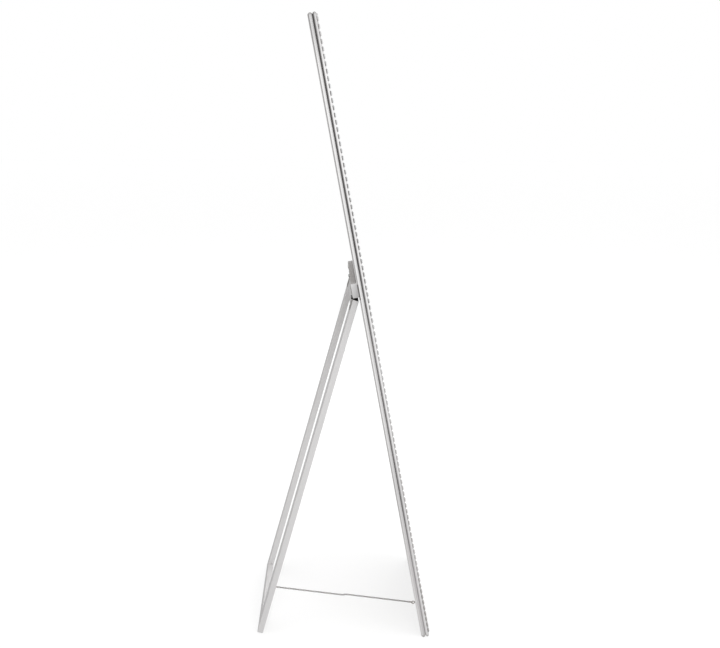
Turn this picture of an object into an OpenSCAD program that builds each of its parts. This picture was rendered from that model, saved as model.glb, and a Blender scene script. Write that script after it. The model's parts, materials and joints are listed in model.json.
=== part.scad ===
// Full-length standing mirror: a moulded silver frame that leans back on a folding easel leg,
// held open by a small safety chain.
//
// Two working frames are used. On the mirror, x runs across, z up its length from the bottom
// edge, and y = 0 is the back face. On the leg, the hinge pin is the origin and z runs up.

/* [Mirror frame] */
// Length of the mirror frame
mirror_len = 1600; // [1200:10:1800]
// Width of the mirror frame
mirror_w = 430; // [410:5:600]
// Thickness from the face of the trim to the back
mirror_t = 24; // [24:0.5:28]
// Width of the moulding across its face
face_w = 60; // [50:1:64]
// Lean of the mirror from upright
lean = 10.3; // [6:0.1:14]

/* [Moulding] */
// Radius of the back bead on the outer side
back_bead_r = 6; // [5:0.1:6]
// Radius of the front bead on the outer side
front_bead_r = 4.4; // [3.5:0.1:4.4]
// Radius of the small bead beside the glass
inner_bead_r = 3.5; // [2.5:0.1:4]
// Depth of the groove between the two outer beads
groove_d = 4.5; // [3:0.1:5]
// Depth of the cove at its middle
cove_d = 5.3; // [3:0.1:6]
// Width of the rebate that holds the glass
rebate_w = 8; // [6:0.5:12]
// Thickness of the lip in front of the glass, from the face
lip_t = 7.4; // [6:0.2:8]

/* [Trim] */
// Height of the cut-glass tiles above the face
tile_h = 3.2; // [2:0.1:3.2]
// Width of a tile at its foot
tile_w = 5; // [3:0.1:6]
// Width of the flat on top of a tile
tile_top_w = 2.6; // [1:0.1:3]
// Height of a tile's straight edges
tile_edge = 1.4; // [0.8:0.1:1.8]
// Length of a tile along the frame
tile_len = 11; // [8:0.5:14]
// Distance from one tile to the next
tile_pitch = 16.5; // [15:0.5:20]
// Distance of the tiles from the outer edge
tile_in = 2; // [1.5:0.1:3]

/* [Glass and back] */
// Thickness of the mirror glass
glass_t = 4; // [3:0.5:5]
// Thickness of the backing board
board_t = 3; // [2:0.5:3.5]
// Gap round the glass and the board in the rebate
pane_gap = 1; // [0.5:0.1:2]
// Gap in front of, behind and between the glass and the board
pane_play = 0.1; // [0.05:0.05:0.2]
// Thickness of the steel points that hold the board
point_t = 0.8; // [0.5:0.1:1]
// Width of a point
point_w = 9; // [6:1:12]
// Length of a point outside the wood
point_out = 8; // [6:0.5:10]
// Length of a point in the wood
point_in = 6; // [4:0.5:8]
// Points along each long side
points_long = 6; // [3:1:10]
// Leg of the corner plates
plate_leg = 44; // [36:1:46]
// Width of the corner plates
plate_w = 14; // [12:0.5:16]
// Thickness of the corner plates
plate_t = 1.5; // [1:0.1:2]
// Shift of the corner plates from the moulding's middle, towards the glass
plate_shift = 3; // [1:0.5:5]
// Distance of a plate's end screws from its ends
plate_hole_end = 6; // [5:0.5:7]
// Distance between the two screws of a plate's arm
plate_hole_step = 13; // [10:0.5:14]
// Gap round the corner plates in their pockets
plate_gap = 0.2; // [0.1:0.05:0.3]

/* [Header and leg] */
// Height of the hinge line above the bottom edge, along the mirror
hinge_up = 930; // [700:5:1000]
// Height of the header batten
header_h = 36; // [32:1:60]
// Thickness of the header batten
header_t = 15.4; // [15.4:0.1:18]
// Slant of the open leg from upright
leg_slant = 15.8; // [12:0.1:20]
// Distance of the leg's and the header's ends from the mirror's sides
leg_in = 30; // [25:1:36]
// Width of the leg's rails
rail_w = 58; // [52:1:60]
// Thickness of the leg's boards
rail_t = 15; // [13:0.1:15]
// Height of the leg's bottom crossbar
foot_bar_h = 36; // [30:1:60]
// Height of the leg's top crossbar
top_bar_h = 24; // [20:1:30]
// Diameter of the dowels
dowel_d = 8; // [6:0.5:9]
// Length of the dowels
dowel_len = 40; // [30:2:46]

/* [Hinges] */
// Width of a hinge along the pin
hinge_w = 32; // [28:1:34]
// Height of a hinge leaf from the pin
leaf_h = 30; // [27:1:32]
// Thickness of a hinge leaf
leaf_t = 1.2; // [1:0.1:1.5]
// Outer radius of the knuckles
knuckle_r = 2.4; // [2.2:0.1:3]
// Radius of the hinge pin
pin_r = 1.2; // [1:0.1:1.4]
// Gap between the header and the rails when folded
seam_gap = 2; // [1:0.5:4]
// Length of a hinge pin outside the knuckles at each end
pin_out = 0.4; // [0.2:0.1:0.6]
// Distance of a hinge's outer screws from the leaf's sides
leaf_hole_side = 7; // [6:0.5:8]
// Distance of a hinge's outer screws from the leaf's end
leaf_hole_end = 6; // [5:0.5:7]
// Step from the outer screws to the middle one, towards the pin
leaf_hole_step = 12; // [10:0.5:13]

/* [Screws] */
// Shank radius of the hinge screws
leaf_screw_r = 1.3; // [1.2:0.05:1.5]
// Length of the hinge screws
leaf_screw_len = 11; // [8:0.5:12]
// Head radius of the hinge screws
leaf_head_r = 2.4; // [2.1:0.1:2.7]
// Shank radius of the header screws
header_screw_r = 1.8; // [1.5:0.05:2]
// Length of the header screws
header_screw_len = 28; // [24:1:28]
// Head radius of the header screws
header_head_r = 3.6; // [3.2:0.1:4]
// Distance of the header screws from the batten's ends
header_screw_in = 7.5; // [7:0.5:8]
// Distance of the header screws from the batten's long edges
header_screw_edge = 9; // [7:0.5:11]
// Shank radius of the plate screws
plate_screw_r = 1.2; // [1:0.05:1.4]
// Length of the plate screws
plate_screw_len = 11; // [8:0.5:12]
// Head radius of the plate screws
plate_head_r = 2.3; // [2:0.1:2.6]
// Slope of a countersunk head, as height over the step in radius
head_slope = 1; // [0.9:0.05:1.2]

/* [Chain] */
// Height of the eye above the bottom edge of the mirror
eye_up = 49; // [38:1:50]
// Inner radius of the eye
eye_r = 2.8; // [2.5:0.1:3.5]
// Wire of the eye
eye_wire = 1.8; // [1.5:0.1:2.2]
// Neck of the eye outside the wood
eye_neck = 1.2; // [0.8:0.1:1.6]
// Shank of the eye in the wood
eye_shank = 12; // [9:0.5:14]
// Height of the chain screw above the foot of the leg
chain_screw_up = 106; // [90:1:140]
// Place of the chain screw in the rail, from its front face
chain_screw_in = 5; // [4:0.5:9]
// Shank radius of the chain screw
chain_screw_r = 1.75; // [1.5:0.05:2]
// Length of the chain screw in the wood
chain_screw_len = 14; // [10:0.5:18]
// Radius of the chain screw's head at its foot
chain_head_r = 3.8; // [3.4:0.1:4.2]
// Radius of the flat on the chain screw's head
chain_head_top_r = 2.6; // [2:0.1:3]
// Height of the chain screw's head
chain_head_h = 1.3; // [1:0.1:1.6]
// Radius of the washer under the end ring
washer_r = 4.4; // [3.6:0.1:5]
// Thickness of the washer
washer_t = 0.8; // [0.6:0.1:1]
// Wire of the chain
wire = 1.3; // [1:0.1:1.5]
// Inner width of a link
link_in_w = 1.9; // [1.8:0.1:2.2]
// Wanted distance from link to link
link_step = 7; // [6:0.5:9]
// Inner radius of the end ring
ring_r = 5; // [4.8:0.1:6]
// Middle of the rear chain from the rail's inner face
chain_off = 2.8; // [2.8:0.1:3.2]

/* [Fits] */
// Radial clearance of a hinge pin
pin_gap = 0.05; // [0.03:0.01:0.1]
// Radial clearance of screws and dowels in the wood
hole_gap = 0.05; // [0.03:0.01:0.1]
// Clearance between linked wires
link_gap = 0.15; // [0.1:0.05:0.2]
// Gap between neighbouring knuckles
knuckle_gap = 0.2; // [0.1:0.05:0.3]
// Sideways gap between the two halves of the chain
chain_gap = 0.4; // [0.3:0.1:0.6]
// Gap between the end ring and the screw's head
ring_play = 0.1; // [0.05:0.05:0.3]

/* [Hidden] */
$fn = 48;

silver = [0.78, 0.78, 0.79];
paint = [0.80, 0.79, 0.78];
steel = [0.62, 0.62, 0.63];
crystal = [0.72, 0.74, 0.76];

// Moulding, measured from the face of the trim towards the back
face_v = tile_h;
lip_v = face_v + lip_t;
glass_v = lip_v + pane_play;
board_v = glass_v + glass_t + pane_play;
point_v = board_v + board_t + pane_play;
rebate_s = face_w - rebate_w;
pane_in = rebate_s + pane_gap;
pane_w = mirror_w - 2 * pane_in;
pane_len = mirror_len - 2 * pane_in;

// The leg frame and the header batten are equally wide
leg_w = mirror_w - 2 * leg_in;
header_len = leg_w;

// Hinge pin, behind the header's rear face, and the leg that reaches the floor from there
pin_off = knuckle_r + 0.1;
pin_back = header_t + pin_off;
// The round back bead rests on the floor, so the frame comes down by this much
drop = back_bead_r * (cos(lean) + sin(lean) - 1);
function on_mirror_y(y, z) = y * cos(lean) + z * sin(lean);
function on_mirror_z(y, z) = z * cos(lean) - y * sin(lean) - drop;
pin_y = on_mirror_y(pin_back, hinge_up);
pin_z = on_mirror_z(pin_back, hinge_up);
leg_front = -(pin_off + rail_t);
leg_len = (pin_z + leg_front * sin(leg_slant)) / cos(leg_slant);
function on_leg_y(y, z) = pin_y + y * cos(leg_slant) - z * sin(leg_slant);
function on_leg_z(y, z) = pin_z + y * sin(leg_slant) + z * cos(leg_slant);

// The middle of the object's depth, which is moved to y = 0
y_front = -mirror_t * cos(lean) + tile_in * sin(lean);
y_back = on_leg_y(-pin_off, -leg_len);
y_mid = (y_front + y_back) / 2;

// Chain from the eye on the mirror to the screw on the leg's left rail
link_w = link_in_w + 2 * wire;
rear_x = -leg_w / 2 + rail_w + chain_off;
front_x = rear_x + link_w + chain_gap;
eye_back = eye_r + eye_wire + eye_neck;
eye_y = on_mirror_y(eye_back, eye_up);
eye_z = on_mirror_z(eye_back, eye_up);
screw_v = leg_front + chain_screw_in;
screw_w = -leg_len + chain_screw_up;
screw_y = on_leg_y(screw_v, screw_w);
screw_z = on_leg_z(screw_v, screw_w);
chain_len = norm([screw_y - eye_y, screw_z - eye_z]);
chain_rise = atan2(screw_z - eye_z, screw_y - eye_y);
// The end ring hangs on the screw. The end links hook round the wires of the eye and of this ring,
// so their holes reach a little past the inner edges of both.
ring_off = ring_r - chain_screw_r - link_gap / 2;
first_edge = eye_r - link_gap;
last_edge = chain_len - ring_off - ring_r + link_gap;
link_count = 2 * round((last_edge - first_edge) / link_step / 2);
link_pitch = (last_edge - first_edge - link_gap) / link_count;
link_in_len = link_pitch + link_gap;

module on_mirror() translate([0, -y_mid, -drop]) rotate([-lean, 0, 0]) children();
module on_leg() translate([0, pin_y - y_mid, pin_z]) rotate([leg_slant, 0, 0]) children();
module on_chain() translate([0, eye_y - y_mid, eye_z]) rotate([chain_rise, 0, 0]) children();

// Points on an arc about a centre
function arc(c, r, from, to, steps) =
    [for (i = [0:steps]) c + r * [cos(from + (to - from) * i / steps), sin(from + (to - from) * i / steps)]];

// Cross-section of the moulding: x inwards from the outer edge, y from the trim's face to the back.
// Round the outside run the inner bead, the cove, the flat for the tiles and the two outer beads.
cove_from = tile_in + tile_w + 1;
cove_to = face_w - 2 * inner_bead_r;
cove_half = (cove_to - cove_from) / 2;
cove_r = (cove_half * cove_half + cove_d * cove_d) / (2 * cove_d);
cove_angle = asin(cove_half / cove_r);
module section() polygon(concat(
    [[rebate_s, mirror_t], [rebate_s, lip_v], [face_w, lip_v]],
    arc([face_w - inner_bead_r, face_v + inner_bead_r], inner_bead_r, 360, 200, 8),
    arc([cove_from + cove_half, face_v + cove_d - cove_r], cove_r, 90 - cove_angle, 90 + cove_angle, 8),
    arc([front_bead_r, face_v + front_bead_r], front_bead_r, 270, acos(groove_d / front_bead_r - 1), 12),
    arc([back_bead_r, mirror_t - back_bead_r], back_bead_r, 360 - acos(groove_d / back_bead_r - 1), 90, 14)));

// A length of moulding along z, mitred at both ends, with its outer edge at x = 0
module moulding(len) {
    big = face_w * 2;
    difference() {
        translate([0, -mirror_t, 0]) linear_extrude(len) section();
        translate([0, -mirror_t - 1, 0]) rotate([0, -45, 0]) translate([-big, 0, -big])
            cube([2 * big, mirror_t + 2, big]);
        translate([0, -mirror_t - 1, len]) rotate([0, 45, 0]) translate([-big, 0, 0])
            cube([2 * big, mirror_t + 2, big]);
    }
}

// Places along a side where the points sit
function point_places(len, count) = [for (i = [0:count - 1]) len * (i + 0.5) / count];
module at_points() {
    for (side = [-1, 1]) {
        for (z = point_places(mirror_len, points_long))
            translate([side * (mirror_w / 2 - rebate_s), 0, z]) on_side(side) children();
        for (x = [-mirror_w / 8, mirror_w / 8])
            translate([x, 0, mirror_len / 2 + side * (mirror_len / 2 - rebate_s)])
                rotate([0, side * -90, 0]) children();
    }
}
module on_side(side) {
    if (side > 0) children();
    else mirror([1, 0, 0]) children();
}
module point_blank(gap) {
    translate([-point_out, point_v - mirror_t - gap, -point_w / 2 - gap])
        cube([point_out + point_in + gap, point_t + 2 * gap, point_w + 2 * gap]);
}

// Corner plates, let into the back
plate_in = (rebate_s - plate_w) / 2 + plate_shift;
module at_corners() {
    for (x = [-1, 1], top = [false, true])
        translate([x * (mirror_w / 2 - plate_in), 0, top ? mirror_len - plate_in : plate_in])
            on_side(-x) rotate([0, top ? 90 : 0, 0]) children();
}
module plate_blank(gap, depth) {
    translate([-gap, -depth, -gap]) cube([plate_leg + 2 * gap, depth + 1, plate_w + 2 * gap]);
    translate([-gap, -depth, -gap]) cube([plate_w + 2 * gap, depth + 1, plate_leg + 2 * gap]);
}
plate_hole_far = plate_leg - plate_hole_end;
plate_hole_near = plate_hole_far - plate_hole_step;
plate_holes = [[plate_hole_far, plate_w / 2], [plate_hole_near, plate_w / 2],
    [plate_w / 2, plate_hole_far], [plate_w / 2, plate_hole_near]];

// Screws: shank radius, length, head radius
plate_screw = [plate_screw_r, plate_screw_len, plate_head_r];
header_screw = [header_screw_r, header_screw_len, header_head_r];
leaf_screw = [leaf_screw_r, leaf_screw_len, leaf_head_r];
// Cross slot in a head, as shares of the head's radius and height
slot_long = 0.6;
slot_wide = 0.1;
slot_deep = 0.35;

// A countersunk screw that points along -y with its head's face at y = 0
module screw(s) {
    head_h = (s[2] - s[0]) * head_slope;
    difference() {
        rotate([90, 0, 0]) union() {
            cylinder(r1 = s[2], r2 = s[0], h = head_h);
            cylinder(r = s[0], h = s[1]);
        }
        for (a = [0, 90]) rotate([0, a, 0])
            translate([-s[2] * slot_long, -head_h * slot_deep, -s[2] * slot_wide])
                cube([2 * s[2] * slot_long, head_h, 2 * s[2] * slot_wide]);
    }
}
// The hole for that screw, open at y = 0
module screw_hole(s) rotate([90, 0, 0]) {
    cylinder(r1 = s[2] + hole_gap, r2 = s[0] + hole_gap, h = (s[2] - s[0]) * head_slope);
    cylinder(r = s[0] + hole_gap, h = s[1] + hole_gap);
    translate([0, 0, -1]) cylinder(r = s[2] + hole_gap, h = 1.001);
}

header_screw_x = header_len / 2 - header_screw_in;
module corner_screw_places() at_corners()
    for (h = plate_holes) translate([h[0], 0, h[1]]) children();
module header_screw_places() for (x = [-1, 1], z = [header_screw_edge, header_h - header_screw_edge])
    translate([x * header_screw_x, header_t, hinge_up + seam_gap / 2 + z]) children();

// What is cut from the moulding: slots for points, pockets and holes
module frame_cuts() {
    at_points() point_blank(hole_gap);
    at_corners() plate_blank(plate_gap, plate_t);
    corner_screw_places() screw_hole(plate_screw);
    header_screw_places() screw_hole(header_screw);
    translate([front_x, 0, eye_up]) rotate([90, 0, 0])
        cylinder(r = eye_wire / 2 + hole_gap, h = eye_shank + hole_gap);
}

module stile(side) color(silver) on_mirror() difference() {
    translate([side * mirror_w / 2, 0, 0]) on_side(-side) moulding(mirror_len);
    frame_cuts();
}
module left_stile() stile(-1);
module right_stile() stile(1);
module top_rail() color(silver) on_mirror() difference() {
    translate([-mirror_w / 2, 0, mirror_len]) rotate([0, 90, 0]) moulding(mirror_w);
    frame_cuts();
}
module bottom_rail() color(silver) on_mirror() difference() {
    translate([mirror_w / 2, 0, 0]) rotate([0, -90, 0]) moulding(mirror_w);
    frame_cuts();
}

// A row of tiles along z, centred on the middle of a side, with the outer edge at x = 0
module tile_row(len, count) {
    for (i = [0:count - 1])
        translate([tile_in, -mirror_t, len / 2 + (i - (count - 1) / 2) * tile_pitch - tile_len / 2])
            linear_extrude(tile_len) polygon([
                [0, tile_h], [tile_w, tile_h], [tile_w, tile_h - tile_edge],
                [(tile_w + tile_top_w) / 2, 0], [(tile_w - tile_top_w) / 2, 0], [0, tile_h - tile_edge]]);
}
stile_tiles = floor((mirror_len - 2 * tile_in) / tile_pitch);
rail_tiles = floor((mirror_w - 2 * (tile_in + tile_w) - tile_len / 2) / tile_pitch);
module side_trim(side) color(crystal) on_mirror()
    translate([side * mirror_w / 2, 0, 0]) on_side(-side) tile_row(mirror_len, stile_tiles);
module left_trim() side_trim(-1);
module right_trim() side_trim(1);
module top_trim() color(crystal) on_mirror()
    translate([-mirror_w / 2, 0, mirror_len]) rotate([0, 90, 0]) tile_row(mirror_w, rail_tiles);
module bottom_trim() color(crystal) on_mirror()
    translate([mirror_w / 2, 0, 0]) rotate([0, -90, 0]) tile_row(mirror_w, rail_tiles);

module pane(v, thick) on_mirror()
    translate([-pane_w / 2, v - mirror_t, pane_in]) cube([pane_w, thick, pane_len]);
module mirror_glass() color([0.82, 0.86, 0.87]) pane(glass_v, glass_t);
module backing_board() color([0.45, 0.36, 0.27]) pane(board_v, board_t);
module board_points() color(steel) on_mirror() at_points() point_blank(0);

module corner_plates() color(steel) on_mirror() difference() {
    at_corners() intersection() {
        plate_blank(0, plate_t);
        translate([-1, -plate_t, -1]) cube([plate_leg + 2, plate_t, plate_leg + 2]);
    }
    corner_screw_places() screw_hole(plate_screw);
}
module corner_screws() color(steel) on_mirror() corner_screw_places()
    screw(plate_screw);

// The hinges sit on the middle of each rail
hinge_x = (leg_w - rail_w) / 2;
leaf_hole_x = hinge_w / 2 - leaf_hole_side;
leaf_hole_z = leaf_h - leaf_hole_end;
leaf_holes = [[-leaf_hole_x, leaf_hole_z], [0, leaf_hole_z - leaf_hole_step], [leaf_hole_x, leaf_hole_z]];
// Clear space between the knuckles and the edge of the other leaf
leaf_clear = 0.4;

module header_board() difference() {
    translate([-header_len / 2, 0, hinge_up + seam_gap / 2]) cube([header_len, header_t, header_h]);
    header_screw_places() screw_hole(header_screw);
    fixed_screw_places() screw_hole(leaf_screw);
}
module hinge_header() color(paint) on_mirror() header_board();
module header_screws() color(steel) on_mirror() header_screw_places()
    screw(header_screw);

module fixed_screw_places() for (x = [-1, 1], h = leaf_holes)
    translate([x * hinge_x + h[0], header_t + leaf_t, hinge_up + h[1]]) children();
module moving_screw_places() for (x = [-1, 1], h = leaf_holes)
    translate([x * hinge_x + h[0], leaf_t - pin_off, -h[1]]) children();

// One hinge leaf: the pin is at the origin, the leaf goes up along z on a face at y = -pin_off
module leaf(spans) {
    difference() {
        union() {
            translate([-hinge_w / 2, -pin_off, knuckle_r + leaf_clear])
                cube([hinge_w, leaf_t, leaf_h - knuckle_r - leaf_clear]);
            for (s = spans) {
                translate([s[0], -pin_off, 0]) cube([s[1] - s[0], leaf_t, knuckle_r + leaf_clear + leaf_t]);
                translate([s[0], 0, 0]) rotate([0, 90, 0]) cylinder(r = knuckle_r, h = s[1] - s[0]);
            }
        }
        translate([-hinge_w / 2 - 1, 0, 0]) rotate([0, 90, 0])
            cylinder(r = pin_r + pin_gap, h = hinge_w + 2);
    }
}
third = hinge_w / 3;
outer_spans = [[-hinge_w / 2, -third / 2 - knuckle_gap / 2], [third / 2 + knuckle_gap / 2, hinge_w / 2]];
inner_span = [[-third / 2 + knuckle_gap / 2, third / 2 - knuckle_gap / 2]];

module fixed_leaf(side) color(steel) on_mirror() difference() {
    translate([side * hinge_x, pin_back, hinge_up]) leaf(outer_spans);
    fixed_screw_places() screw_hole(leaf_screw);
}
module left_fixed_leaf() fixed_leaf(-1);
module right_fixed_leaf() fixed_leaf(1);
module hinge_pins() color(steel) on_mirror() for (x = [-1, 1])
    translate([x * hinge_x - hinge_w / 2 - pin_out, pin_back, hinge_up]) rotate([0, 90, 0])
        cylinder(r = pin_r, h = hinge_w + 2 * pin_out);
module fixed_leaf_screws() color(steel) on_mirror() fixed_screw_places()
    screw(leaf_screw);

// Screw eye: the ring stands in the y-z plane with its shank in the bottom rail
module chain_eye() color(steel) on_mirror() translate([front_x, 0, eye_up]) {
    translate([0, eye_back, 0]) rotate([0, 90, 0]) rotate_extrude()
        translate([eye_r + eye_wire / 2, 0]) circle(d = eye_wire);
    difference() {
        translate([0, -eye_shank, 0]) rotate([-90, 0, 0])
            cylinder(d = eye_wire, h = eye_shank + eye_back - eye_r - eye_wire / 2);
        translate([-2, eye_back, 0]) rotate([0, 90, 0]) cylinder(r = eye_r + eye_wire / 4, h = 4);
    }
}

// Leg frame
rail_top = -seam_gap / 2;
foot_bar_z = -leg_len;
top_bar_z = rail_top - top_bar_h;
dowel_spots = [foot_bar_z + foot_bar_h / 4, foot_bar_z + foot_bar_h * 3 / 4,
    top_bar_z + top_bar_h / 2];
inner_x = leg_w / 2 - rail_w;
module dowel_places() for (side = [-1, 1], z = dowel_spots)
    translate([side * inner_x - dowel_len / 2, leg_front + rail_t / 2, z]) rotate([0, 90, 0]) children();
module dowel_holes() dowel_places() translate([0, 0, -hole_gap])
    cylinder(d = dowel_d + 2 * hole_gap, h = dowel_len + 2 * hole_gap);
module chain_screw_place() translate([-inner_x, screw_v, screw_w]) rotate([0, 90, 0]) children();

module leg_rail(side) color(paint) on_leg() difference() {
    translate([side > 0 ? inner_x : -leg_w / 2, leg_front, -leg_len])
        cube([rail_w, rail_t, leg_len + rail_top]);
    dowel_holes();
    moving_screw_places() screw_hole(leaf_screw);
    chain_screw_place() translate([0, 0, -chain_screw_len - hole_gap])
        cylinder(r = chain_screw_r + hole_gap, h = chain_screw_len + 1);
}
module left_leg_rail() leg_rail(-1);
module right_leg_rail() leg_rail(1);
module crossbar(z, h) color(paint) on_leg() difference() {
    translate([-inner_x, leg_front, z]) cube([2 * inner_x, rail_t, h]);
    dowel_holes();
}
module leg_top_crossbar() crossbar(top_bar_z, top_bar_h);
module leg_bottom_crossbar() crossbar(foot_bar_z, foot_bar_h);
module leg_dowels() color([0.80, 0.66, 0.46]) on_leg() dowel_places() cylinder(d = dowel_d, h = dowel_len);

module moving_leaf(side) color(steel) on_leg() difference() {
    translate([side * hinge_x, 0, 0]) mirror([0, 0, 1]) leaf(inner_span);
    moving_screw_places() screw_hole(leaf_screw);
}
module left_moving_leaf() moving_leaf(-1);
module right_moving_leaf() moving_leaf(1);
module moving_leaf_screws() color(steel) on_leg() moving_screw_places()
    screw(leaf_screw);

// Chain screw along x: shank in the rail, washer on the rail, thin round head outside the ring
head_in = chain_off + wire / 2 + ring_play;
module chain_screw() color(steel) on_leg() chain_screw_place() {
    translate([0, 0, -chain_screw_len]) cylinder(r = chain_screw_r, h = chain_screw_len + head_in);
    translate([0, 0, head_in]) cylinder(r1 = chain_head_r, r2 = chain_head_top_r, h = chain_head_h);
}
module chain_washer() color(steel) on_leg() chain_screw_place() difference() {
    cylinder(r = washer_r, h = washer_t);
    translate([0, 0, -1]) cylinder(r = chain_screw_r + hole_gap, h = washer_t + 2);
}

// One link along y: two half rings and two straight wires, turned about its length
module half_ring() rotate([0, 0, -90]) rotate_extrude(angle = 180)
    translate([(link_in_w + wire) / 2, 0]) circle(d = wire, $fn = 16);
module link(turn) rotate([0, turn, 0]) {
    straight = link_in_len - link_in_w;
    translate([0, straight / 2, 0]) rotate([0, 0, 90]) half_ring();
    translate([0, -straight / 2, 0]) rotate([0, 0, -90]) half_ring();
    for (x = [-1, 1]) translate([x * (link_in_w + wire) / 2, -straight / 2, 0]) rotate([-90, 0, 0])
        cylinder(d = wire, h = straight, $fn = 16);
}
function link_y(i) = first_edge + link_in_len / 2 + i * link_pitch;
// Links from first to last, with the one in the eye or in the end ring lying flat
module links(first, last, flat) for (i = [first:last])
    translate([0, link_y(i), 0]) link(abs(i - flat) % 2 == 0 ? 0 : 90);
module front_chain() color(steel) on_chain() translate([front_x, 0, 0])
    links(0, link_count / 2 - 1, 0);
module rear_chain() color(steel) on_chain() translate([rear_x, 0, 0])
    links(link_count / 2, link_count - 1, link_count - 1);
module chain_end_ring() color(steel) on_chain() translate([rear_x, chain_len - ring_off, 0])
    rotate([0, 90, 0]) rotate_extrude() translate([ring_r + wire / 2, 0]) circle(d = wire, $fn = 16);

left_stile();
right_stile();
top_rail();
bottom_rail();
left_trim();
right_trim();
top_trim();
bottom_trim();
mirror_glass();
backing_board();
board_points();
corner_plates();
corner_screws();
hinge_header();
header_screws();
left_fixed_leaf();
right_fixed_leaf();
hinge_pins();
fixed_leaf_screws();
chain_eye();
left_leg_rail();
right_leg_rail();
leg_top_crossbar();
leg_bottom_crossbar();
leg_dowels();
left_moving_leaf();
right_moving_leaf();
moving_leaf_screws();
chain_screw();
chain_washer();
front_chain();
rear_chain();
chain_end_ring();
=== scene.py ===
# %% [markdown]
# # A standing mirror on an easel leg
#
# The object is a full-length mirror in a silver moulding. It leans back on a hinged leg frame, and a
# small safety chain stops the leg from sliding out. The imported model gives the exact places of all
# its pieces. This lesson keeps those places and works out, with numpy, what the eye sees: the round
# beads of the moulding, cut-glass tiles, boards with eased edges, screw heads and chain links.

# %% Load the fixed frame
import json
import math

import bpy
import numpy as np
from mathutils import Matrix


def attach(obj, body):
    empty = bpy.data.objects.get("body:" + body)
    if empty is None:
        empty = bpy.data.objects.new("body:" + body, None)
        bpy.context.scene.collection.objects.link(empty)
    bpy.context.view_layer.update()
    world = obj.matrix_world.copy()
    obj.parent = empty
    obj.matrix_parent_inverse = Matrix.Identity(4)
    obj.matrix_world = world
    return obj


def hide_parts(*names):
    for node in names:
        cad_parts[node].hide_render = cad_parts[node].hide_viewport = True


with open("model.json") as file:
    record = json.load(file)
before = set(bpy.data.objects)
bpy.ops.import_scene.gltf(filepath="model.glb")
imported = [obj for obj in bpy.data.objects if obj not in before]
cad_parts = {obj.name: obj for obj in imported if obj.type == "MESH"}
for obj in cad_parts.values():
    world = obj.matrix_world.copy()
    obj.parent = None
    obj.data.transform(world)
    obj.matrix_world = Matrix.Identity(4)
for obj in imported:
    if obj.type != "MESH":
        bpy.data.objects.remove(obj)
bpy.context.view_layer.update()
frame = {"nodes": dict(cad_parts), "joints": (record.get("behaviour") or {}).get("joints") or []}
MM = 0.001

# %% [markdown]
# ## Two slanted working frames
#
# Nothing on this object stands upright: the mirror leans one way and the leg the other. It is much
# easier to measure along a board than across two slopes, so each group gets a working frame that is
# turned about the x axis. In the mirror's frame x runs across, z up along the mirror from its lower
# edge, and y = 0 is the back. In the leg's frame the hinge pin is the origin. The finished meshes are
# taken back to the shared frame, so the objects themselves stay at the origin.

# %% The turned frames
LEAN = 10.3
SLANT = 15.8


class Tilt:
    """A frame that is turned about x and has its own origin in the shared frame."""

    def __init__(self, degrees, origin=(0, 0, 0)):
        c, s = math.cos(math.radians(degrees)), math.sin(math.radians(degrees))
        self.turn = np.array([[1, 0, 0], [0, c, -s], [0, s, c]])
        self.origin = np.array(origin, float)

    def out(self, points):
        """From this frame to the shared one: every point is turned, and the origin is added."""
        return points @ self.turn.T + self.origin

    def back(self, points):
        """From the shared frame to this one: the origin is taken off, and the turn is undone."""
        return (points - self.origin) @ self.turn

    def points(self, node):
        """The vertices of a CAD node, as one array of rows x, y, z in this frame."""
        mesh = frame["nodes"][node].data
        flat = np.empty(len(mesh.vertices) * 3, np.float32)
        mesh.vertices.foreach_get("co", flat)
        return self.back(flat.reshape(-1, 3).astype(float))

    def box(self, node):
        """Lowest and highest corner of a CAD node: the least and the most of each column."""
        local = self.points(node)
        return local.min(0), local.max(0)


joint = {j["name"]: j for j in frame["joints"]}
loose = Tilt(-LEAN)
stile_lo, stile_hi = loose.box("left_stile")
mirror = Tilt(-LEAN, loose.out(np.array([0, stile_hi[1], stile_lo[2]])))
leg = Tilt(SLANT, joint["leg_fold"]["pos_m"])
eye_at = np.array(joint["front_chain_fold"]["pos_m"])
screw_at = np.array(joint["rear_chain_fold"]["pos_m"])
RISE = math.degrees(math.atan2(screw_at[2] - eye_at[2], screw_at[1] - eye_at[1]))
chain = Tilt(RISE, (0, eye_at[1], eye_at[2]))
print("mirror origin", mirror.origin.round(4), "and the chain rises by", round(RISE, 2), "degrees")

# %% [markdown]
# ## Surfaces from arrays
#
# Every new piece here is a stack of closed rings: a moulding is its own section at the two mitred
# ends, a board is a rounded rectangle that shrinks at both ends, a chain link is a small circle
# carried round an oval. Modifiers could make them too, such as Bevel on a cube or Screw on a profile,
# with another recipe for each kind. Rings need one helper for all, and every point is known exactly.
#
# The helper takes an array of rings, joins each ring to the next with quads by index arithmetic, and
# either caps the ends or joins the last ring to the first. A shape could come out inside out, so its
# volume is worked out first: where it is negative, every ring is reversed.

# %% Rings to mesh
def ring_faces(rows, columns, closed):
    """Quads between ring i and ring i + 1. Point j of ring i has the index i times columns + j, and
    both numbers wrap round at the end."""
    i = np.arange(rows if closed else rows - 1)[:, None]
    j = np.arange(columns)[None, :]
    down, right = (i + 1) % rows, (j + 1) % columns
    quads = [i * columns + j, i * columns + right, down * columns + right, down * columns + j]
    return np.stack([np.broadcast_to(q, (len(i), columns)) for q in quads], -1).reshape(-1, 4)


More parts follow.
